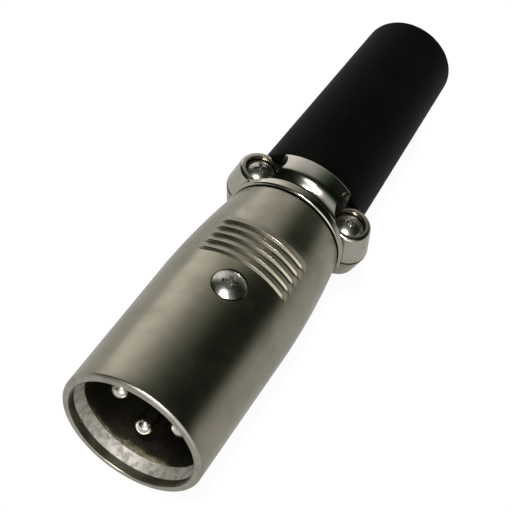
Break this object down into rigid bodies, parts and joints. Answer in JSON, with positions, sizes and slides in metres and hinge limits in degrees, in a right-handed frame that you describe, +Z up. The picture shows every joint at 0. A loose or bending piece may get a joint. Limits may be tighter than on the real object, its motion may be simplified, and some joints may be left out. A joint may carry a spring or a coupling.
{
  "type": "xlr plug",
  "caption": "Male cable plug with three pins in a round nickel shell, thumb grip, two-screw cable clamp and rubber boot.",
  "frame": {"origin": "middle of the bounding box at its lowest level, which is the surface that the plug lies on", "axes": "+Y along the plug from its mouth to its boot, +Z up through the retaining screw, +X to the right seen from the mouth"},
  "size_m": [0.0212, 0.0796, 0.0196],
  "materials": {
    "shell": "satin nickel plate on die-cast zinc",
    "saddle": "bright nickel plate on die-cast zinc",
    "screws": "nickel-plated steel",
    "contacts": "silver-plated brass",
    "nut": "turned brass",
    "insulator": "moulded black thermoplastic",
    "boot": "matte black rubber"
  },
  "bodies": {
    "root": {"shell": "shell", "clamp_saddle": "saddle", "clamp_screw_left": "screws", "clamp_screw_right": "screws", "insert_screw": "screws", "insert": "insulator", "insert_nut": "nut", "ground_tab": "contacts", "pin_1": "contacts", "pin_2": "contacts", "pin_3": "contacts", "flex_boot": "boot"}
  },
  "joints": []
}
